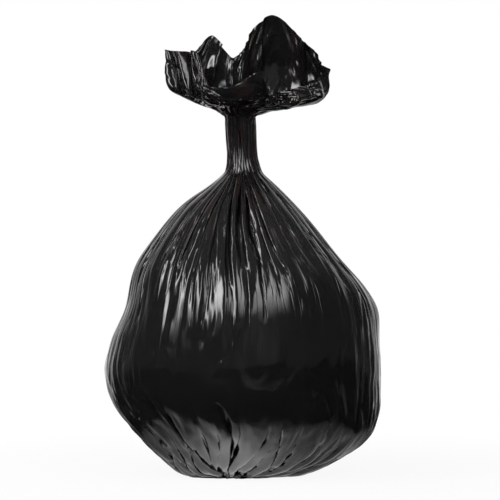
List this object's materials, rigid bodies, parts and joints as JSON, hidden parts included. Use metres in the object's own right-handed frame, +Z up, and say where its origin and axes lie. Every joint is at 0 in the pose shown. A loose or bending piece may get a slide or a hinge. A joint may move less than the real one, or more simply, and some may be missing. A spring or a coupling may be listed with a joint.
{
  "type": "filled bin bag",
  "caption": "Filled bag of thin black film, gathered into a pleated neck, with its open mouth flaring above and a star-sealed base.",
  "frame": {"origin": "on the floor, at the middle of the flat spot that the bag stands on, under the middle of its belly", "axes": "+Z up through the neck; +X to the right and -Y to the front as the picture shows it"},
  "size_m": [0.3279, 0.2997, 0.5558],
  "materials": {
    "film": "glossy thin black polythene film, creased"
  },
  "bodies": {
    "root": {"bag": "film"}
  },
  "joints": []
}
